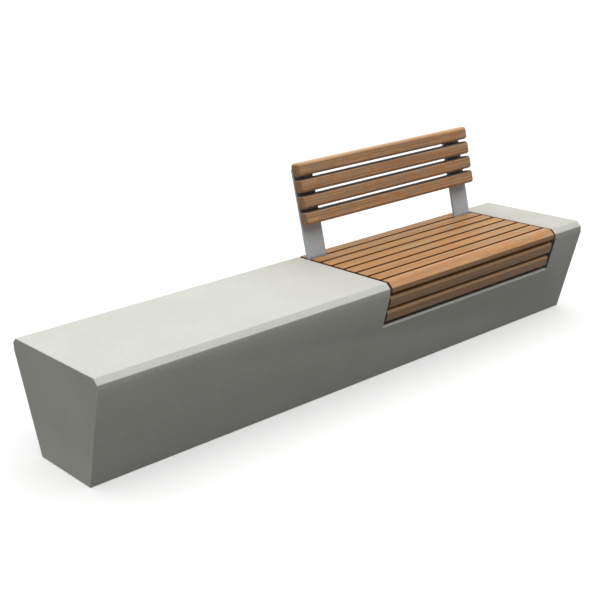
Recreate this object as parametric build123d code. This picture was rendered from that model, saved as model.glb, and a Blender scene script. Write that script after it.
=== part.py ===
from build123d import *
import math
import os

# Concrete block, in mm: +X along the bench, -Y to the sitter's front, +Z up.
# The origin is on the floor, in the middle of the block's base.
block_length = 2700.0
block_height = 455.0
block_top_depth = 600.0
block_base_depth = 350.0
edge_chamfer = 22.0
band_height = 30.0
plain_seat_length = 1400.0
recess_length = 1100.0
ledge_bevel = 9.0

# Timber seat slats
seat_slat_count = 8
seat_gap = 13.0
slat_thick = 42.0
slat_end_gap = 12.0
rear_slat_extra = 14.0
slat_round = 2.0

# Timber slats on the front slope
front_slat_count = 2
front_slat_width = 57.0
front_gap = 13.0
front_top_clear = 11.5
front_set_back = 3.0
front_foot_gap = 11.5
front_round = 14.0

# Timber backrest slats
back_slat_count = 4
back_slat_height = 60.5
back_slat_thick = 56.0
back_gap = 11.5
back_clear = 150.0
back_overhang = 12.0
back_round = 14.0
back_end_bevel = 8.0

# Steel flats: uprights and the brackets under the slats
bar_thick = 10.0
upright_width = 110.0
upright_margin = 10.0
upright_lean = 12.0
upright_top_drop = 25.0
bend_radius = 12.0
bracket_width = 60.0
bracket_spread = 540.0
bracket_end_margin = 12.0
foot_reach = 45.0

# Fixings
side_clear = 1.5
hole_clear = 0.3
bolt_size = 12.0
bolt_length = 60.0
coach_size = 10.0
coach_head = 6.5

# Levels and lines that follow from the sizes
block_left = -block_length / 2
recess_left = block_left + plain_seat_length
recess_mid = recess_left + recess_length / 2
front_y = -block_top_depth / 2
back_y = block_top_depth / 2
slope_top = block_height - edge_chamfer - band_height
slope_angle = math.atan2((block_top_depth - block_base_depth) / 2, slope_top)
slat_length = recess_length - 2 * slat_end_gap
slat_bottom = block_height - slat_thick
recess_floor = slat_bottom - bar_thick
slat_width = (block_top_depth - rear_slat_extra - (seat_slat_count - 1) * seat_gap) / seat_slat_count
slat_pitch = slat_width + seat_gap
leg_outer = front_set_back + slat_thick
leg_inner = leg_outer + bar_thick


def slope_point(climb, depth):
    # Point of the front slope: climb up the face from its top edge, depth into the block.
    y = front_y - climb * math.sin(slope_angle) + depth * math.cos(slope_angle)
    z = slope_top + climb * math.cos(slope_angle) + depth * math.sin(slope_angle)
    return y, z


def climb_at(z, depth):
    return (z - slope_top - depth * math.sin(slope_angle)) / math.cos(slope_angle)


def seat_slat_front(number):
    return front_y + number * slat_pitch


def seat_gap_middle(number):
    # Middle of the gap behind the slat with this number.
    return seat_slat_front(number) + slat_width + seat_gap / 2


front_slat_top = climb_at(slat_bottom - front_top_clear, leg_outer)
front_slat_pitch = front_slat_width + front_gap
front_slat_foot = front_slat_top - (front_slat_count - 1) * front_slat_pitch - front_slat_width
ledge_z = slope_point(front_slat_foot, front_set_back)[1] - front_foot_gap

# The uprights stand in the last gap, in notches of the rear slat.
rear_slat_number = seat_slat_count - 1
rear_slat_front = seat_slat_front(rear_slat_number)
upright_front = rear_slat_front - seat_gap + bend_radius + side_clear
upright_back = upright_front + bar_thick
lean = math.radians(upright_lean)
back_pitch = back_slat_height + back_gap
back_top = back_clear + (back_slat_count - 1) * back_pitch + back_slat_height
upright_reach = back_top - upright_top_drop
coach_rise = (back_slat_height - upright_top_drop) / 2
coach_bite = back_slat_thick * 2 / 3
coach_length = bar_thick + coach_bite
foot_bolt_offsets = (-upright_width / 4, upright_width / 4)
upright_spread = recess_length - 2 * upright_margin - upright_width
upright_centres = [recess_mid - upright_spread / 2, recess_mid + upright_spread / 2]
bracket_centres = [recess_mid - bracket_spread / 2, recess_mid + bracket_spread / 2]

# Local planes: x along the bench, y up the face, z out of the face.
slope_plane = Plane(
    origin=(0, front_y, slope_top),
    x_dir=(1, 0, 0),
    z_dir=(0, -math.cos(slope_angle), -math.sin(slope_angle)),
)
back_plane = Plane(
    origin=(0, upright_front, block_height),
    x_dir=(1, 0, 0),
    z_dir=(0, -math.cos(lean), math.sin(lean)),
)

# Where the fixings go, each a location whose z axis points out of the fixing's head
bolt_row = seat_gap_middle(rear_slat_number - 2)
front_gap_middle = front_slat_top - front_slat_width - front_gap / 2
bracket_bolt_places = [Location((x, bolt_row, slat_bottom)) for x in bracket_centres]
bracket_bolt_places += [
    slope_plane.location * Location((x, front_gap_middle, -leg_outer)) for x in bracket_centres
]
foot_bolt_places = [
    Location((x + offset, bolt_row, slat_bottom)) for x in upright_centres for offset in foot_bolt_offsets
]
bolt_places = bracket_bolt_places + foot_bolt_places


def coach_screw_places(number):
    climb = back_clear + number * back_pitch + coach_rise
    return [back_plane.location * Location((x, climb, -bar_thick), (180, 0, 0)) for x in upright_centres]


coach_places = [place for n in range(back_slat_count) for place in coach_screw_places(n)]


def countersunk(size, length, clear=0.0):
    # Countersunk bolt with its flat head at z = 0, pointing down; clear makes its hole.
    radius = size / 2 + clear
    cone_end = radius - size
    profile = Polyline((0, 0), (size, 0), (radius, cone_end), (radius, -length), (0, -length), close=True)
    return revolve(Plane.XZ * make_face(profile), Axis.Z)


def at(places, shape):
    return [place * shape for place in places]


def long_edges(body):
    return body.edges().filter_by(Axis.X)


def rounded_face(body, radius):
    # The edges of the face that is seen are eased; the hidden ones stay as sawn.
    return fillet(long_edges(body).group_by(Axis.Z)[-1], radius)


def along_x(profile, start, length):
    return Pos(start, 0, 0) * extrude(Plane.YZ * make_face(profile), length)


# Concrete block with its recess through the top and down the front
def block_profile():
    return Polyline(
        (-block_base_depth / 2, 0),
        (block_base_depth / 2, 0),
        (back_y, slope_top),
        (back_y, block_height - edge_chamfer),
        (back_y - edge_chamfer, block_height),
        (front_y + edge_chamfer, block_height),
        (front_y, block_height - edge_chamfer),
        (front_y, slope_top),
        close=True,
    )


def recess_profile():
    # The cut runs past the block at the front, the back and the top, and bevels the ledge's front edge.
    past = slat_width
    ledge_front = slope_point(climb_at(ledge_z, 0), 0)[0]
    bevel_run = ledge_bevel + past
    return Polyline(
        (back_y + past, recess_floor),
        slope_point(climb_at(recess_floor, leg_inner), leg_inner),
        slope_point(climb_at(ledge_z, leg_inner), leg_inner),
        (ledge_front + ledge_bevel, ledge_z),
        (ledge_front - past, ledge_z - bevel_run),
        (front_y - past, ledge_z - bevel_run),
        (front_y - past, block_height + past),
        (back_y + past, block_height + past),
        close=True,
    )


# The bolts reach the block's sockets through the gaps between slats.
bolt = countersunk(bolt_size, bolt_length)
bolt_hole = countersunk(bolt_size, bolt_length + side_clear, hole_clear)
anchor_bolts = Compound(at(bolt_places, bolt))

concrete_block = along_x(block_profile(), block_left, block_length)
concrete_block -= along_x(recess_profile(), recess_left, recess_length)
concrete_block -= at(bolt_places, bolt_hole)

# Timber slats of the seat
slat_left = recess_mid - slat_length / 2


def slat_profile(front):
    back = front + slat_width
    return Polyline(
        (front, slat_bottom), (back, slat_bottom), (back, block_height), (front, block_height), close=True
    )


def edge_profile(outer, inner):
    # The slats in line with the block's front and back carry on its chamfer.
    chamfer_run = math.copysign(edge_chamfer, inner - outer)
    return Polyline(
        (outer, slat_bottom),
        (inner, slat_bottom),
        (inner, block_height),
        (outer + chamfer_run, block_height),
        (outer, block_height - edge_chamfer),
        close=True,
    )


notch_align = (Align.CENTER, Align.MIN, Align.MIN)


def upright_notch(x):
    # Room for an upright's leg in the rear slat.
    width = upright_width + 2 * side_clear
    depth = upright_back + side_clear - rear_slat_front
    return Pos(x, rear_slat_front, slat_bottom) * Box(width, depth, slat_thick, align=notch_align)


def seat_slat(number):
    return rounded_face(along_x(slat_profile(seat_slat_front(number)), slat_left, slat_length), slat_round)


def edge_slat(outer, inner):
    body = along_x(edge_profile(outer, inner), slat_left, slat_length)
    return fillet(long_edges(body).group_by(Axis.Z)[1:], slat_round)


def nosing_slat():
    return edge_slat(front_y, front_y + slat_width)


def rear_slat():
    # Wider than the rest, since it is notched for the uprights.
    return edge_slat(back_y, rear_slat_front) - [upright_notch(x) for x in upright_centres]


seat_slats = {f"seat_slat_{n}": seat_slat(n) for n in range(1, rear_slat_number)}


# Steel brackets: a flat under the seat slats and a leg down the front slope
def bracket_profile():
    leg_end = front_slat_foot + bracket_end_margin
    tail = back_y - bracket_end_margin
    return Polyline(
        (tail, recess_floor),
        (tail, slat_bottom),
        slope_point(climb_at(slat_bottom, leg_outer), leg_outer),
        slope_point(leg_end, leg_outer),
        slope_point(leg_end, leg_inner),
        slope_point(climb_at(recess_floor, leg_inner), leg_inner),
        close=True,
    )


def bracket(x):
    body = along_x(bracket_profile(), x - bracket_width / 2, bracket_width)
    return body - at(bracket_bolt_places, bolt_hole)


# Timber slats of the front slope
def front_slat(number):
    climb = front_slat_top - number * front_slat_pitch - front_slat_width / 2
    body = rounded_face(Box(slat_length, front_slat_width, slat_thick), front_round)
    return slope_plane.location * (Pos(recess_mid, climb, -front_set_back - slat_thick / 2) * body)


front_slats = {f"front_slat_{n + 1}": front_slat(n) for n in range(front_slat_count)}


# Steel uprights: a flat bent up from a foot under the slats, then back by the lean
def upright_profile():
    foot_front = bolt_row - foot_reach
    top_y = upright_front + upright_reach * math.sin(lean)
    top_z = block_height + upright_reach * math.cos(lean)
    face = FilletPolyline(
        (foot_front, slat_bottom),
        (upright_front, slat_bottom),
        (upright_front, block_height),
        (top_y, top_z),
        radius=bend_radius,
    )
    return offset(face, amount=bar_thick, side=Side.RIGHT)


head_down = (Align.CENTER, Align.CENTER, Align.MAX)
coach_hole = Cylinder(coach_size / 2 + hole_clear, coach_length + side_clear, align=head_down)


def upright(x):
    body = along_x(upright_profile(), x - upright_width / 2, upright_width)
    return body - at(foot_bolt_places, bolt_hole) - at(coach_places, coach_hole)


# Timber slats of the backrest, held by coach screws from behind
def back_slat(number):
    climb = back_clear + number * back_pitch + back_slat_height / 2
    body = Box(slat_length + 2 * back_overhang, back_slat_height, back_slat_thick)
    body = fillet(long_edges(body), back_round)
    body = chamfer(body.faces().filter_by(Axis.X).edges(), back_end_bevel)
    body = back_plane.location * (Pos(recess_mid, climb, back_slat_thick / 2) * body)
    return body - at(coach_screw_places(number), coach_hole)


back_slats = {f"back_slat_{n + 1}": back_slat(n) for n in range(back_slat_count)}

coach_screw = extrude(RegularPolygon(coach_size, 6), coach_head)
coach_screw += Cylinder(coach_size / 2, coach_length, align=head_down)
back_slat_screws = Compound(at(coach_places, coach_screw))

# One STEP file for each named piece
pieces = {
    "concrete_block": concrete_block,
    "anchor_bolts": anchor_bolts,
    "seat_bracket_left": bracket(bracket_centres[0]),
    "seat_bracket_right": bracket(bracket_centres[1]),
    "nosing_slat": nosing_slat(),
    **seat_slats,
    "rear_slat": rear_slat(),
    **front_slats,
    "upright_left": upright(upright_centres[0]),
    "upright_right": upright(upright_centres[1]),
    **back_slats,
    "back_slat_screws": back_slat_screws,
}
os.makedirs("parts", exist_ok=True)
for name, shape in pieces.items():
    export_step(shape, f"parts/{name}.step")
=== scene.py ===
import math

import bmesh
import bpy
from mathutils import Matrix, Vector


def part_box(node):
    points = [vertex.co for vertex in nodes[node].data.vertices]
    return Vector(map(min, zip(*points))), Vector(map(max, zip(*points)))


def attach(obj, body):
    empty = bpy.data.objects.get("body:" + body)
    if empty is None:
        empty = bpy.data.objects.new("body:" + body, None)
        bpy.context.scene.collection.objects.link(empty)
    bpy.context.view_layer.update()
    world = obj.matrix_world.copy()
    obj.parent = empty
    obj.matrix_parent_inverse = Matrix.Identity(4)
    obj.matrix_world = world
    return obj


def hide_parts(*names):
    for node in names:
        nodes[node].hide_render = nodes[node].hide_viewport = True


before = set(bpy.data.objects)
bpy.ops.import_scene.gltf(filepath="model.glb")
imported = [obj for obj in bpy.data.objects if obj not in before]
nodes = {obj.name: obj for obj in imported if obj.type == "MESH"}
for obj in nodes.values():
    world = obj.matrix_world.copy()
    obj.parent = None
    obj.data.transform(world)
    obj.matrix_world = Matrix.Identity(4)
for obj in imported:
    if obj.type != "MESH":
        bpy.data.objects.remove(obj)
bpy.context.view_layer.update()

scene = bpy.context.scene
print("frame loaded:", len(nodes), "nodes")


def hexToLinear(code):
    # sRGB hex to the linear colour that shader sockets take
    channels = [int(code[i:i + 2], 16) / 255 for i in (1, 3, 5)]
    linear = [c / 12.92 if c <= 0.04045 else ((c + 0.055) / 1.055) ** 2.4 for c in channels]
    return (*linear, 1.0)


def addNode(tree, kind, inputs=None, **settings):
    # inputs holds values or output sockets, by socket name or number
    node = tree.nodes.new(kind)
    for name, value in settings.items():
        setattr(node, name, value)
    for name, value in (inputs or {}).items():
        if isinstance(value, bpy.types.NodeSocket):
            tree.links.new(value, node.inputs[name])
        else:
            node.inputs[name].default_value = value
    return node


def newMaterial(name):
    material = bpy.data.materials.new(name)
    material.use_nodes = True
    material.node_tree.nodes.clear()
    return material, material.node_tree


def closeMaterial(tree, shader):
    addNode(tree, "ShaderNodeOutputMaterial", {"Surface": shader.outputs[0]})


def perMetre(millimetres):
    # texture scale that gives a pattern of this real size
    return 1000.0 / millimetres


# materials, each with a table: colours, pattern sizes in millimetres, bump depths and arrises in metres,
# and shares from 0 to 1; From and Full say where a stain, painted light or painted shade starts
# and where it reaches its share
def stainOrPaintedLightOver(tree, colour, look, part, value, mask=None):
    # lays the colour of one part, a stain or a painted light or shade, over what is there already
    share = addNode(tree, "ShaderNodeMapRange", {
        "Value": value, "From Min": look[part + "From"], "From Max": look[part + "Full"],
        "To Min": 0.0, "To Max": look[part + "Share"]}).outputs[0]
    if mask is not None:
        share = addNode(tree, "ShaderNodeMath", {0: share, 1: mask}, operation="MULTIPLY").outputs[0]
    return addNode(tree, "ShaderNodeMix", {
        0: share, 6: colour, 7: hexToLinear(look[part])}, data_type="RGBA").outputs[2]


concreteLook = {
    "pale": "#CFD0C8", "dull": "#BFC0B8", "cloudSize": 260.0,
    "mottle": "#BFC0B8", "mottleSize": 38.0, "mottleFrom": 0.52, "mottleFull": 0.75, "mottleShare": 0.30,
    "grit": "#A9AAA2", "gritSize": 4.0, "gritFrom": 0.50, "gritFull": 0.72, "gritShare": 0.45,
    "pit": "#7C7D77", "pitSpacing": 62.0, "pitRadius": 2.2, "pitFree": 0.45,
    # painted shade on the top beside the timber
    "backrestShade": "#F0EDEB", "backrestShadeReach": 480.0, "levelFrom": 0.8,
    # painted shade on the recess walls in the gaps beside the slats' ends
    "sideShade": "#38332D", "sideShadeReach": 48.0, "sideShadeFrom": 0.7, "sideShadeFull": 1.0, "sideShadeShare": 0.75,
    # painted light on the faces near the ground
    "footLight": "#E9E9E1", "footLightFrom": 0.170, "footLightFull": 0.0, "footLightShare": 0.40,  # heights in metres
    "roughness": 0.82, "roughSpread": 0.08, "bumpDepth": 0.0007,
}


def castConcrete(name, look):
    # fair-faced precast concrete from a steel mould: pale, clouded, sandy, with a few air pits
    material, tree = newMaterial(name)
    coords = addNode(tree, "ShaderNodeTexCoord").outputs
    place = coords["Object"]
    # the grit is under 1 mm on the real face and is drawn coarser so that it shows
    noise = {}
    for part, detail in (("cloud", 3.0), ("mottle", 4.0), ("grit", 2.0)):
        noise[part] = addNode(tree, "ShaderNodeTexNoise", {
            "Vector": place, "Scale": perMetre(look[part + "Size"]), "Detail": detail}).outputs[0]
    cells = addNode(tree, "ShaderNodeTexVoronoi", {"Vector": place, "Scale": perMetre(look["pitSpacing"])})
    chance = addNode(tree, "ShaderNodeSeparateColor", {0: cells.outputs["Color"]})
    pitSize = addNode(tree, "ShaderNodeMapRange", {
        "Value": chance.outputs[0], "From Min": look["pitFree"], "From Max": 1.0,
        "To Min": 0.0, "To Max": look["pitRadius"] / look["pitSpacing"]})
    pit = addNode(tree, "ShaderNodeMath", {
        0: cells.outputs["Distance"], 1: pitSize.outputs[0]}, operation="LESS_THAN")
    colour = addNode(tree, "ShaderNodeMix", {
        0: noise["cloud"], 6: hexToLinear(look["dull"]), 7: hexToLinear(look["pale"])},
        data_type="RGBA").outputs[2]
    colour = stainOrPaintedLightOver(tree, colour, look, "mottle", noise["mottle"])
    colour = stainOrPaintedLightOver(tree, colour, look, "grit", noise["grit"])
    colour = addNode(tree, "ShaderNodeMix", {
        0: pit.outputs[0], 6: colour, 7: hexToLinear(look["pit"])}, data_type="RGBA").outputs[2]
    # painted shade: the top beside the timber is darkened, standing in for the backrest's shadow on it
    timberLow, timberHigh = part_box("nosing_slat")
    timberMiddle = (timberLow.x + timberHigh.x) / 2
    timberHalf = (timberHigh.x - timberLow.x) / 2
    spot = addNode(tree, "ShaderNodeSeparateXYZ", {0: place}).outputs
    offset = addNode(tree, "ShaderNodeMath", {0: spot["X"], 1: timberMiddle}, operation="SUBTRACT")
    apart = addNode(tree, "ShaderNodeMath", {0: offset.outputs[0]}, operation="ABSOLUTE").outputs[0]
    near = addNode(tree, "ShaderNodeMapRange", {
        "Value": apart, "From Min": timberHalf, "From Max": timberHalf + look["backrestShadeReach"] / 1000.0,
        "To Min": 1.0, "To Max": 0.0})
    facing = addNode(tree, "ShaderNodeSeparateXYZ", {0: coords["Normal"]}).outputs
    level = addNode(tree, "ShaderNodeMapRange", {
        "Value": facing["Z"], "From Min": look["levelFrom"], "From Max": 1.0})
    shaded = addNode(tree, "ShaderNodeMath", {0: near.outputs[0], 1: level.outputs[0]}, operation="MULTIPLY")
    colour = addNode(tree, "ShaderNodeMix", {
        0: shaded.outputs[0], 6: colour, 7: hexToLinear(look["backrestShade"])},
        data_type="RGBA", blend_type="MULTIPLY").outputs[2]
    # painted shade: the recess walls in the narrow gaps beside the slats' ends are darkened
    inside = addNode(tree, "ShaderNodeMath", {
        0: apart, 1: timberHalf + look["sideShadeReach"] / 1000.0}, operation="LESS_THAN")
    wallward = addNode(tree, "ShaderNodeMath", {0: facing["X"]}, operation="ABSOLUTE")
    colour = stainOrPaintedLightOver(tree, colour, look, "sideShade", wallward.outputs[0], inside.outputs[0])
    # painted light: faces low down near the ground are lightened against the shade there
    colour = stainOrPaintedLightOver(tree, colour, look, "footLight", spot["Z"])
    rough = addNode(tree, "ShaderNodeMapRange", {
        "Value": noise["mottle"], "To Min": look["roughness"] - look["roughSpread"],
        "To Max": look["roughness"] + look["roughSpread"]})
    height = addNode(tree, "ShaderNodeMath", {0: noise["grit"], 1: pit.outputs[0]}, operation="SUBTRACT")
    bump = addNode(tree, "ShaderNodeBump", {
        "Height": height.outputs[0], "Strength": 0.5, "Distance": look["bumpDepth"]})
    shader = addNode(tree, "ShaderNodeBsdfPrincipled", {
        "Base Color": colour, "Roughness": rough.outputs[0], "Normal": bump.outputs[0],
        "IOR": 1.5, "Specular IOR Level": 0.35})
    closeMaterial(tree, shader)
    return material


timberLook = {
    "light": "#C69A6E", "deep": "#8A5E38", "tone": 0.0, "toneFrom": 0.22, "toneFull": 0.78,
    "streakWidth": 10.0, "streakLength": 620.0, "blotchWidth": 16.0, "blotchLength": 60.0,
    "poreWidth": 2.4, "poreLength": 110.0, "silverSize": 70.0,
    "ringWidth": 12.0, "ringStretch": 20.0, "ringShare": 0.20,
    "warm": "#B9722F", "warmFrom": 0.45, "warmFull": 0.72, "warmShare": 0.65,
    "grey": "#948677", "greyFrom": 0.45, "greyFull": 0.72, "greyShare": 0.45,
    "pore": "#523722", "poreFrom": 0.56, "poreFull": 0.72, "poreShare": 0.40,
    "endGrain": "#5E402A", "endGrainFrom": 0.45, "endGrainFull": 1.0, "endGrainShare": 0.40,
    # painted shade on faces turned away from the top
    "sideShade": "#2E2018", "sideShadeFrom": 0.5, "sideShadeFull": 0.0, "sideShadeShare": 0.0,
    # painted shade on the edges in the gaps
    "gapShade": "#1E1610", "gapShadeFrom": 0.58, "gapShadeFull": 0.70, "gapShadeShare": 0.0, "gapBelow": 0.0,
    # painted highlight on upper edges
    "edgeHighlight": "#EABD8E", "edgeHighlightFrom": 0.0, "edgeHighlightFull": 1.0, "edgeHighlightShare": 0.0,
    "roughLeast": 0.44, "roughMost": 0.64, "bumpDepth": 0.0004, "arris": 0.001,
}


def oiledHardwood(name, look):
    # planed and oiled iroko: warm brown with long straight grain, dark pores and a silvery weathered cast
    material, tree = newMaterial(name)
    coords = addNode(tree, "ShaderNodeTexCoord").outputs
    shift = addNode(tree, "ShaderNodeAttribute", attribute_name="slatShift")
    cut = addNode(tree, "ShaderNodeVectorMath", {
        0: coords["Object"], 1: shift.outputs["Vector"]}, operation="ADD").outputs[0]
    # every grain pattern is long in x, the way each slat was sawn
    grain = {}
    for part, detail in (("streak", 4.0), ("blotch", 2.0), ("pore", 3.0)):
        along, across = perMetre(look[part + "Length"]), perMetre(look[part + "Width"])
        drawn = addNode(tree, "ShaderNodeVectorMath", {
            0: cut, 1: (along, across, across)}, operation="MULTIPLY")
        grain[part] = addNode(tree, "ShaderNodeTexNoise", {
            "Vector": drawn.outputs[0], "Scale": 1.0, "Detail": detail}).outputs[0]
    ringAt = addNode(tree, "ShaderNodeVectorMath", {
        0: cut, 1: (1.0 / look["ringStretch"], 1.0, 1.0)}, operation="MULTIPLY")
    wavePeriod = math.tau / 20.0  # a wave texture's ring spacing at scale 1
    rings = addNode(tree, "ShaderNodeTexWave", {
        "Vector": ringAt.outputs[0], "Scale": wavePeriod * perMetre(look["ringWidth"]), "Distortion": 5.0,
        "Detail": 2.0, "Detail Scale": 0.6}, wave_type="RINGS", rings_direction="X")
    spread = addNode(tree, "ShaderNodeMath", {
        0: rings.outputs["Fac"], 1: look["ringShare"], 2: -look["ringShare"] / 2}, operation="MULTIPLY_ADD")
    mixed = addNode(tree, "ShaderNodeMath", {0: grain["streak"], 1: spread.outputs[0]}, operation="ADD")
    lift = addNode(tree, "ShaderNodeAttribute", attribute_name="slatTone")
    toned = addNode(tree, "ShaderNodeMath", {0: mixed.outputs[0], 1: lift.outputs["Fac"]}, operation="ADD")
    level = addNode(tree, "ShaderNodeMapRange", {
        "Value": toned.outputs[0], "From Min": look["toneFrom"] - look["tone"],
        "From Max": look["toneFull"] - look["tone"]})
    silver = addNode(tree, "ShaderNodeTexNoise", {
        "Vector": cut, "Scale": perMetre(look["silverSize"]), "Detail": 3.0})
    colour = addNode(tree, "ShaderNodeMix", {
        0: level.outputs[0], 6: hexToLinear(look["deep"]), 7: hexToLinear(look["light"])},
        data_type="RGBA").outputs[2]
    colour = stainOrPaintedLightOver(tree, colour, look, "warm", grain["blotch"])
    colour = stainOrPaintedLightOver(tree, colour, look, "grey", silver.outputs[0])
    colour = stainOrPaintedLightOver(tree, colour, look, "pore", grain["pore"])
    # sawn ends drink the oil and turn darker than the planed faces
    facing = addNode(tree, "ShaderNodeSeparateXYZ", {0: coords["Normal"]}).outputs
    endward = addNode(tree, "ShaderNodeMath", {0: facing["X"]}, operation="ABSOLUTE")
    colour = stainOrPaintedLightOver(tree, colour, look, "endGrain", endward.outputs[0])
    # painted highlight: upper edges are lightened, but not in the gaps, below a given height
    spot = addNode(tree, "ShaderNodeSeparateXYZ", {0: coords["Object"]}).outputs
    inGap = addNode(tree, "ShaderNodeMath", {
        0: spot["Z"], 1: look["gapBelow"]}, operation="LESS_THAN").outputs[0]
    outside = addNode(tree, "ShaderNodeMath", {0: 1.0, 1: inGap}, operation="SUBTRACT").outputs[0]
    colour = stainOrPaintedLightOver(tree, colour, look, "edgeHighlight", facing["Z"], outside)
    # painted shade: the upright sides between one slat and the next are darkened, and so are the edges in the
    # gaps
    colour = stainOrPaintedLightOver(tree, colour, look, "sideShade", facing["Z"])
    colour = stainOrPaintedLightOver(tree, colour, look, "gapShade", facing["Z"], inGap)
    rough = addNode(tree, "ShaderNodeMapRange", {
        "Value": grain["pore"], "To Min": look["roughLeast"], "To Max": look["roughMost"]})
    eased = addNode(tree, "ShaderNodeBevel", {"Radius": look["arris"]}, samples=4)
    bump = addNode(tree, "ShaderNodeBump", {
        "Height": grain["pore"], "Strength": 0.5, "Distance": look["bumpDepth"], "Normal": eased.outputs[0]},
        invert=True)
    shader = addNode(tree, "ShaderNodeBsdfPrincipled", {
        "Base Color": colour, "Roughness": rough.outputs[0], "Normal": bump.outputs[0],
        "IOR": 1.5, "Specular IOR Level": 0.35})
    closeMaterial(tree, shader)
    return material


steelLook = {
    "coat": "#C6CFD6", "shade": "#B5BEC5", "bloomSize": 45.0, "peelSize": 2.4,
    "roughLeast": 0.40, "roughMost": 0.56, "bumpDepth": 0.0002, "arris": 0.0012,
}


def coatedSteel(name, look):
    # flat bar, galvanised and powder coated silver grey: even, faintly clouded, with a fine orange peel
    material, tree = newMaterial(name)
    place = addNode(tree, "ShaderNodeTexCoord").outputs["Object"]
    bloom = addNode(tree, "ShaderNodeTexNoise", {
        "Vector": place, "Scale": perMetre(look["bloomSize"]), "Detail": 3.0})
    peel = addNode(tree, "ShaderNodeTexNoise", {
        "Vector": place, "Scale": perMetre(look["peelSize"]), "Detail": 1.0})
    tint = addNode(tree, "ShaderNodeMix", {
        0: bloom.outputs[0], 6: hexToLinear(look["shade"]), 7: hexToLinear(look["coat"])}, data_type="RGBA")
    rough = addNode(tree, "ShaderNodeMapRange", {
        "Value": bloom.outputs[0], "To Min": look["roughLeast"], "To Max": look["roughMost"]})
    eased = addNode(tree, "ShaderNodeBevel", {"Radius": look["arris"]}, samples=4)
    bump = addNode(tree, "ShaderNodeBump", {
        "Height": peel.outputs[0], "Strength": 0.25, "Distance": look["bumpDepth"],
        "Normal": eased.outputs[0]})
    shader = addNode(tree, "ShaderNodeBsdfPrincipled", {
        "Base Color": tint.outputs[2], "Roughness": rough.outputs[0], "Normal": bump.outputs[0],
        "Metallic": 0.0, "IOR": 1.5})
    closeMaterial(tree, shader)
    return material


boltLook = {
    "bright": "#C6C7C8", "dull": "#A6A7A8", "turnMark": 1.2,
    "roughLeast": 0.28, "roughMost": 0.48, "bumpDepth": 0.0001,
}


def turnedStainless(name, look):
    # turned stainless steel: grey metal with fine tool marks that spread its highlights
    material, tree = newMaterial(name)
    place = addNode(tree, "ShaderNodeTexCoord").outputs["Object"]
    marks = addNode(tree, "ShaderNodeTexNoise", {
        "Vector": place, "Scale": perMetre(look["turnMark"]), "Detail": 2.0})
    tint = addNode(tree, "ShaderNodeMix", {
        0: marks.outputs[0], 6: hexToLinear(look["dull"]), 7: hexToLinear(look["bright"])}, data_type="RGBA")
    rough = addNode(tree, "ShaderNodeMapRange", {
        "Value": marks.outputs[0], "To Min": look["roughLeast"], "To Max": look["roughMost"]})
    bump = addNode(tree, "ShaderNodeBump", {
        "Height": marks.outputs[0], "Strength": 0.2, "Distance": look["bumpDepth"]})
    shader = addNode(tree, "ShaderNodeBsdfPrincipled", {
        "Base Color": tint.outputs[2], "Roughness": rough.outputs[0], "Normal": bump.outputs[0],
        "Metallic": 1.0})
    closeMaterial(tree, shader)
    return material


concrete = castConcrete("fairFacedConcrete", concreteLook)
# the seat's sides and arrises take painted shade in the gaps
seatTimber = oiledHardwood("oiledIrokoSeat", {
    **timberLook, "light": "#BF9259", "deep": "#8A6032", "grey": "#918470",
    "sideShade": "#63350C", "sideShadeFrom": 1.0, "sideShadeFull": 0.8, "sideShadeShare": 0.95})
# the nosing takes painted shade on its front band and a painted highlight on its chamfer
noseTimber = oiledHardwood("oiledIrokoNosing", {
    **timberLook, "light": "#C89A67", "deep": "#8C5E34", "tone": 0.06,
    "sideShade": "#2B2B2E", "sideShadeShare": 0.42,
    "edgeHighlight": "#EFB070", "edgeHighlightFrom": 1.0, "edgeHighlightFull": 0.75, "edgeHighlightShare": 0.13})
# the front slats take a painted highlight on their upper edges
frontTimber = oiledHardwood("oiledIrokoFront", {
    **timberLook, "light": "#AF8E6B", "deep": "#795737", "tone": -0.05,
    "edgeHighlightFrom": -0.15, "edgeHighlightFull": 0.45, "edgeHighlightShare": 0.55})
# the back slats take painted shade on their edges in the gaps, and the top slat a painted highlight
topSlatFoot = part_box("back_slat_4")[0].z
backTimber = oiledHardwood("oiledIrokoBack", {
    **timberLook, "light": "#CDA37A", "deep": "#8F6541", "tone": 0.042,
    "gapShadeShare": 0.95, "gapBelow": topSlatFoot,
    "edgeHighlightFrom": 0.21, "edgeHighlightFull": 0.36, "edgeHighlightShare": 0.3})
steel = coatedSteel("powderCoatedSteel", steelLook)
stainless = turnedStainless("turnedStainless", boltLook)
print("materials made")


def linkPiece(name, mesh):
    piece = bpy.data.objects.new(name, mesh)
    scene.collection.objects.link(piece)
    return piece


def roundEdges(piece, width, segments, angle):
    for face in piece.data.polygons:
        face.use_smooth = True
    bevel = piece.modifiers.new("arris", "BEVEL")
    bevel.width = width
    bevel.segments = segments
    bevel.limit_method = "ANGLE"
    bevel.angle_limit = math.radians(angle)
    bevel.harden_normals = True
    bevel.use_clamp_overlap = False


def newTree(name, sockets):
    tree = bpy.data.node_groups.new(name, "GeometryNodeTree")
    tree.interface.new_socket("Geometry", in_out="OUTPUT", socket_type="NodeSocketGeometry")
    for socket, kind in sockets.items():
        tree.interface.new_socket(socket, in_out="INPUT", socket_type="NodeSocket" + kind)
    return tree, addNode(tree, "NodeGroupInput").outputs


def growPiece(name, tree, values):
    # runs a tree on an empty carrier and keeps the result as a plain mesh
    carrier = linkPiece(name + "Carrier", bpy.data.meshes.new(name + "Carrier"))
    grower = carrier.modifiers.new("grow", "NODES")
    grower.node_group = tree
    for item in tree.interface.items_tree:
        if item.in_out == "INPUT":
            grower[item.identifier] = values[item.name]
    graph = bpy.context.evaluated_depsgraph_get()
    mesh = bpy.data.meshes.new_from_object(carrier.evaluated_get(graph))
    carrier.modifiers.remove(grower)
    bpy.data.objects.remove(carrier)
    return linkPiece(name, mesh)


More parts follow.
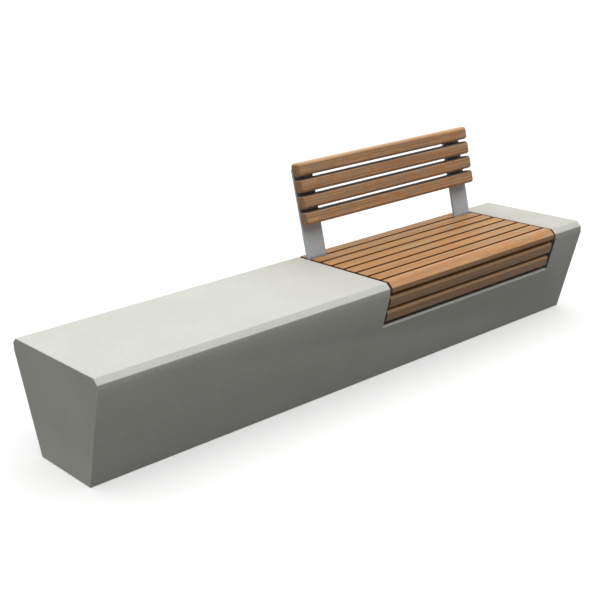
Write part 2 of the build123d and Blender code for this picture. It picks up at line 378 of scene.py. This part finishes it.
# concrete block, in metres
blockShape = {
    "baseDepth": 0.350, "chamfer": 0.022, "band": 0.030,
    "recessStart": 0.050, "recessEnd": 1.150, "recessFloor": 0.403, "ledge": 0.25626, "legDepth": 0.055,
    "ledgeBevel": 0.009, "arris": 0.003, "arrisSegments": 3, "arrisAngle": 25.0,
}


def castBlock(shape):
    low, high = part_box("concrete_block")
    slopeTop = high.z - shape["chamfer"] - shape["band"]
    foot = shape["baseDepth"] / 2
    run = (high.y - foot) / slopeTop
    front = low.y
    ledge = shape["ledge"]
    ledgeFront = -foot - run * ledge
    setBack = shape["legDepth"] * math.hypot(1.0, run)
    bevelDrop = shape["ledgeBevel"] / (1.0 + run)
    bevelFoot = (ledgeFront + run * bevelDrop, ledge - bevelDrop)
    base = [(-foot, 0.0), (foot, 0.0), (high.y, slopeTop)]
    upper = [
        (high.y, high.z - shape["chamfer"]), (high.y - shape["chamfer"], high.z),
        (front + shape["chamfer"], high.z), (front, high.z - shape["chamfer"]), (front, slopeTop),
        bevelFoot]
    pocket = [
        (-foot - run * shape["recessFloor"] + setBack, shape["recessFloor"]), (ledgeFront + setBack, ledge),
        (ledgeFront + shape["ledgeBevel"], ledge)]
    full = base + upper
    cutDown = base + pocket + [bevelFoot]
    wall = [base[2]] + upper + pocket[::-1]
    mesh = bmesh.new()

    def addFace(points):
        mesh.faces.new([mesh.verts.new(point) for point in points])

    def addRun(profile, start, end):
        for (y0, z0), (y1, z1) in zip(profile, profile[1:] + profile[:1]):
            addFace([(start, y0, z0), (start, y1, z1), (end, y1, z1), (end, y0, z0)])

    stations = [low.x, shape["recessStart"], shape["recessEnd"], high.x]
    for profile, start, end in zip((full, cutDown, full), stations, stations[1:]):
        addRun(profile, start, end)
    for profile, x in ((full, stations[0]), (wall, stations[1]), (wall, stations[2]), (full, stations[3])):
        addFace([(x, y, z) for y, z in profile])
    bmesh.ops.remove_doubles(mesh, verts=mesh.verts, dist=1e-6)
    bmesh.ops.dissolve_limit(mesh, angle_limit=math.radians(0.5), verts=mesh.verts, edges=mesh.edges)
    bmesh.ops.recalc_face_normals(mesh, faces=mesh.faces)
    data = bpy.data.meshes.new("castBlock")
    mesh.to_mesh(data)
    mesh.free()
    data.materials.append(concrete)
    piece = linkPiece("castBlock", data)
    roundEdges(piece, shape["arris"], shape["arrisSegments"], shape["arrisAngle"])
    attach(piece, "root")
    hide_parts("concrete_block")


castBlock(blockShape)
print("concrete block made")


# rows of slats, each slat with its own cut of grain and its own tone
def slatRowTree():
    tree, given = newTree("slatRow", {
        "Slat Size": "Vector", "First Middle": "Vector", "Step": "Vector", "Tilt": "Float", "Count": "Int",
        "Tone Range": "Float", "Seed": "Int", "Timber": "Material"})
    row = addNode(tree, "GeometryNodeMeshLine", {
        "Count": given["Count"], "Start Location": given["First Middle"], "Offset": given["Step"]},
        mode="OFFSET")
    slat = addNode(tree, "GeometryNodeMeshCube", {"Size": given["Slat Size"]})
    turn = addNode(tree, "ShaderNodeCombineXYZ", {"X": given["Tilt"]})
    aim = addNode(tree, "FunctionNodeEulerToRotation", {0: turn.outputs[0]})
    laid = addNode(tree, "GeometryNodeInstanceOnPoints", {
        "Points": row.outputs[0], "Instance": slat.outputs["Mesh"], "Rotation": aim.outputs[0]})
    number = addNode(tree, "GeometryNodeInputIndex")
    farthest = (2.0, 0.2, 0.2)  # how far a slat's cut of grain is moved at most, in metres
    nearest = tuple(-length for length in farthest)
    shift = addNode(tree, "FunctionNodeRandomValue", {
        0: nearest, 1: farthest, "ID": number.outputs[0], "Seed": given["Seed"]}, data_type="FLOAT_VECTOR")
    darkest = addNode(tree, "ShaderNodeMath", {0: given["Tone Range"], 1: -1.0}, operation="MULTIPLY")
    tone = addNode(tree, "FunctionNodeRandomValue", {
        2: darkest.outputs[0], 3: given["Tone Range"], "ID": number.outputs[0], "Seed": given["Seed"]})
    shifted = addNode(tree, "GeometryNodeStoreNamedAttribute", {
        "Geometry": laid.outputs[0], "Name": "slatShift", "Value": shift.outputs[0]},
        data_type="FLOAT_VECTOR", domain="INSTANCE")
    toned = addNode(tree, "GeometryNodeStoreNamedAttribute", {
        "Geometry": shifted.outputs[0], "Name": "slatTone", "Value": tone.outputs[1]},
        data_type="FLOAT", domain="INSTANCE")
    real = addNode(tree, "GeometryNodeRealizeInstances", {"Geometry": toned.outputs[0]})
    dressed = addNode(tree, "GeometryNodeSetMaterial", {
        "Geometry": real.outputs[0], "Material": given["Timber"]})
    addNode(tree, "NodeGroupOutput", {"Geometry": dressed.outputs[0]})
    return tree


slatRow = slatRowTree()


def middle(node):
    low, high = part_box(node)
    return (low + high) / 2


def laySlats(name, nodeNames, row):
    first = middle(nodeNames[0])
    step = (middle(nodeNames[-1]) - first) / (len(nodeNames) - 1)
    low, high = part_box(nodeNames[0])
    piece = growPiece(name, slatRow, {
        "Slat Size": (high.x - low.x, row["depth"], row["height"]), "First Middle": first, "Step": step,
        "Tilt": math.radians(row["tilt"]), "Count": len(nodeNames), "Tone Range": row["toneRange"],
        "Seed": row["seed"], "Timber": row["timber"]})
    roundEdges(piece, row["round"], row["roundSegments"], row["roundAngle"])
    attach(piece, "root")
    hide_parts(*nodeNames)


seatRow = {
    "depth": 0.061875, "height": 0.042, "tilt": 0.0, "round": 0.002, "roundSegments": 3, "roundAngle": 30.0,
    "toneRange": 0.07, "seed": 4, "timber": seatTimber,
}
backRow = {
    "depth": 0.056, "height": 0.0605, "tilt": -12.0, "round": 0.014, "roundSegments": 6, "roundAngle": 30.0,
    "toneRange": 0.01, "seed": 9, "timber": backTimber,
}
laySlats("seatSlats", [f"seat_slat_{n}" for n in range(1, 7)], seatRow)
laySlats("backSlats", [f"back_slat_{n}" for n in range(1, 5)], backRow)
print("slats laid")


# coach screws behind the backrest, in metres
coachScrew = {
    "lean": 12.0, "first": (0.26928, 0.61700), "pitch": 0.072, "rows": 4,  # first is the lowest seat, y and z
    "headRadius": 0.010, "headHeight": 0.0065, "flangeRadius": 0.0115, "flangeThick": 0.0016,
    "ease": 0.0006, "easeSegments": 2, "easeAngle": 40.0,
}


def coachScrewTree():
    tree, given = newTree("coachScrews", {
        "First": "Vector", "Up Step": "Vector", "Rows": "Int", "Across Step": "Vector", "Tilt": "Float",
        "Head Radius": "Float", "Head Height": "Float", "Flange Radius": "Float", "Flange Thickness": "Float",
        "Metal": "Material"})
    rows = addNode(tree, "GeometryNodeMeshLine", {
        "Count": given["Rows"], "Start Location": given["First"], "Offset": given["Up Step"]}, mode="OFFSET")
    pair = addNode(tree, "GeometryNodeMeshLine", {"Count": 2, "Offset": given["Across Step"]}, mode="OFFSET")
    spread = addNode(tree, "GeometryNodeInstanceOnPoints", {
        "Points": pair.outputs[0], "Instance": rows.outputs[0]})
    places = addNode(tree, "GeometryNodeRealizeInstances", {"Geometry": spread.outputs[0]})
    hexagon = addNode(tree, "GeometryNodeMeshCylinder", {
        "Vertices": 6, "Radius": given["Head Radius"], "Depth": given["Head Height"]})
    half = addNode(tree, "ShaderNodeMath", {0: given["Head Height"], 1: 0.5}, operation="MULTIPLY")
    rise = addNode(tree, "ShaderNodeCombineXYZ", {"Z": half.outputs[0]})
    head = addNode(tree, "GeometryNodeTransform", {
        "Geometry": hexagon.outputs[0], "Translation": rise.outputs[0]})
    disc = addNode(tree, "GeometryNodeMeshCylinder", {
        "Vertices": 32, "Radius": given["Flange Radius"], "Depth": given["Flange Thickness"]})
    thin = addNode(tree, "ShaderNodeMath", {0: given["Flange Thickness"], 1: 0.5}, operation="MULTIPLY")
    sit = addNode(tree, "ShaderNodeCombineXYZ", {"Z": thin.outputs[0]})
    flange = addNode(tree, "GeometryNodeTransform", {
        "Geometry": disc.outputs[0], "Translation": sit.outputs[0]})
    screw = addNode(tree, "GeometryNodeJoinGeometry", {"Geometry": head.outputs[0]})
    tree.links.new(flange.outputs[0], screw.inputs[0])
    turn = addNode(tree, "ShaderNodeCombineXYZ", {"X": given["Tilt"]})
    aim = addNode(tree, "FunctionNodeEulerToRotation", {0: turn.outputs[0]})
    driven = addNode(tree, "GeometryNodeInstanceOnPoints", {
        "Points": places.outputs[0], "Instance": screw.outputs[0], "Rotation": aim.outputs[0]})
    real = addNode(tree, "GeometryNodeRealizeInstances", {"Geometry": driven.outputs[0]})
    dressed = addNode(tree, "GeometryNodeSetMaterial", {
        "Geometry": real.outputs[0], "Material": given["Metal"]})
    addNode(tree, "NodeGroupOutput", {"Geometry": dressed.outputs[0]})
    return tree


def driveCoachScrews(screw):
    lean = math.radians(screw["lean"])
    left, right = middle("upright_left").x, middle("upright_right").x
    piece = growPiece("coachScrewHeads", coachScrewTree(), {
        "First": (left, *screw["first"]), "Rows": screw["rows"],
        "Up Step": (0.0, screw["pitch"] * math.sin(lean), screw["pitch"] * math.cos(lean)),
        "Across Step": (right - left, 0.0, 0.0), "Tilt": -math.pi / 2 - lean,
        "Head Radius": screw["headRadius"], "Head Height": screw["headHeight"],
        "Flange Radius": screw["flangeRadius"], "Flange Thickness": screw["flangeThick"], "Metal": stainless})
    roundEdges(piece, screw["ease"], screw["easeSegments"], screw["easeAngle"])
    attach(piece, "root")
    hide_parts("back_slat_screws")


driveCoachScrews(coachScrew)
print("coach screws driven")


# pieces whose CAD shape stays and takes a finish
keptFinish = {
    "nosing_slat": noseTimber, "rear_slat": seatTimber,
    "front_slat_1": frontTimber, "front_slat_2": frontTimber,
    "upright_left": steel, "upright_right": steel, "seat_bracket_left": steel, "seat_bracket_right": steel,
    "anchor_bolts": stainless,
}
for name, finish in keptFinish.items():
    nodes[name].data.materials.clear()
    nodes[name].data.materials.append(finish)
print("CAD nodes dressed")


# floor, light and camera
studio = {
    "floorSize": 120.0, "floorDrop": 0.0005, "floorSeen": "#FAFAF9", "floorBounce": "#565655",
    "floorGlow": 0.45, "skyFill": 0.050,
    "sunStrength": 3.84, "sunSpread": 95.0, "sunForward": 3.0, "sunLeft": -2.5,
}
viewPoint = {
    "place": (-3.10596, -3.45689, 1.92079), "azimuth": -40.18, "elevation": 18.86, "roll": -2.37,
    "lens": 68.32,
}


def seenRay(tree):
    # 1 for what the camera sees directly or in a reflection, 0 for scattered light
    path = addNode(tree, "ShaderNodeLightPath")
    either = addNode(tree, "ShaderNodeMath", {
        0: path.outputs["Is Camera Ray"], 1: path.outputs["Is Glossy Ray"]}, operation="MAXIMUM")
    return addNode(tree, "ShaderNodeMath", {
        0: either.outputs[0], 1: path.outputs["Is Transmission Ray"]}, operation="MAXIMUM").outputs[0]


def layFloor():
    half = studio["floorSize"] / 2
    drop = -studio["floorDrop"]
    corners = [(-half, -half, drop), (half, -half, drop), (half, half, drop), (-half, half, drop)]
    data = bpy.data.meshes.new("floor")
    data.from_pydata(corners, [], [(0, 1, 2, 3)])
    floor = linkPiece("floor", data)
    material, tree = newMaterial("paleStudioFloor")
    seen = seenRay(tree)
    tint = addNode(tree, "ShaderNodeMix", {
        0: seen, 6: hexToLinear(studio["floorBounce"]), 7: hexToLinear(studio["floorSeen"])},
        data_type="RGBA")
    # a share of white of its own keeps the shadow faint
    share = addNode(tree, "ShaderNodeMath", {0: seen, 1: studio["floorGlow"]}, operation="MULTIPLY")
    matt = addNode(tree, "ShaderNodeBsdfDiffuse", {"Color": tint.outputs[2]})
    white = addNode(tree, "ShaderNodeEmission", {"Color": (1, 1, 1, 1), "Strength": 1.0})
    closeMaterial(tree, addNode(tree, "ShaderNodeMixShader", {
        0: share.outputs[0], 1: matt.outputs[0], 2: white.outputs[0]}))
    data.materials.append(material)


def lightRoom():
    world = bpy.data.worlds.new("whiteRoom")
    world.use_nodes = True
    tree = world.node_tree
    tree.nodes.clear()
    strength = addNode(tree, "ShaderNodeMapRange", {
        "Value": seenRay(tree), "To Min": studio["skyFill"], "To Max": 1.0})
    sky = addNode(tree, "ShaderNodeBackground", {"Color": (1, 1, 1, 1), "Strength": strength.outputs[0]})
    addNode(tree, "ShaderNodeOutputWorld", {"Surface": sky.outputs[0]})
    scene.world = world
    lamp = bpy.data.lights.new("overheadSoftbox", "SUN")
    lamp.energy = studio["sunStrength"]
    lamp.angle = math.radians(studio["sunSpread"])
    overhead = bpy.data.objects.new("overheadSoftbox", lamp)
    overhead.rotation_euler = (math.radians(studio["sunForward"]), math.radians(-studio["sunLeft"]), 0.0)
    scene.collection.objects.link(overhead)


def placeCamera():
    camera = bpy.data.cameras.new("photoView")
    camera.sensor_fit = "HORIZONTAL"
    camera.sensor_width = 36.0
    camera.lens = viewPoint["lens"]
    camera.clip_end = 500.0
    holder = bpy.data.objects.new("photoView", camera)
    turn = Matrix.Rotation(math.radians(viewPoint["azimuth"]), 4, "Z")
    dip = Matrix.Rotation(math.radians(90.0 - viewPoint["elevation"]), 4, "X")
    roll = Matrix.Rotation(math.radians(viewPoint["roll"]), 4, "Z")
    holder.matrix_world = Matrix.Translation(viewPoint["place"]) @ turn @ dip @ roll
    scene.collection.objects.link(holder)
    scene.camera = holder


layFloor()
lightRoom()
placeCamera()
scene.view_settings.view_transform = "Standard"
print("studio set")
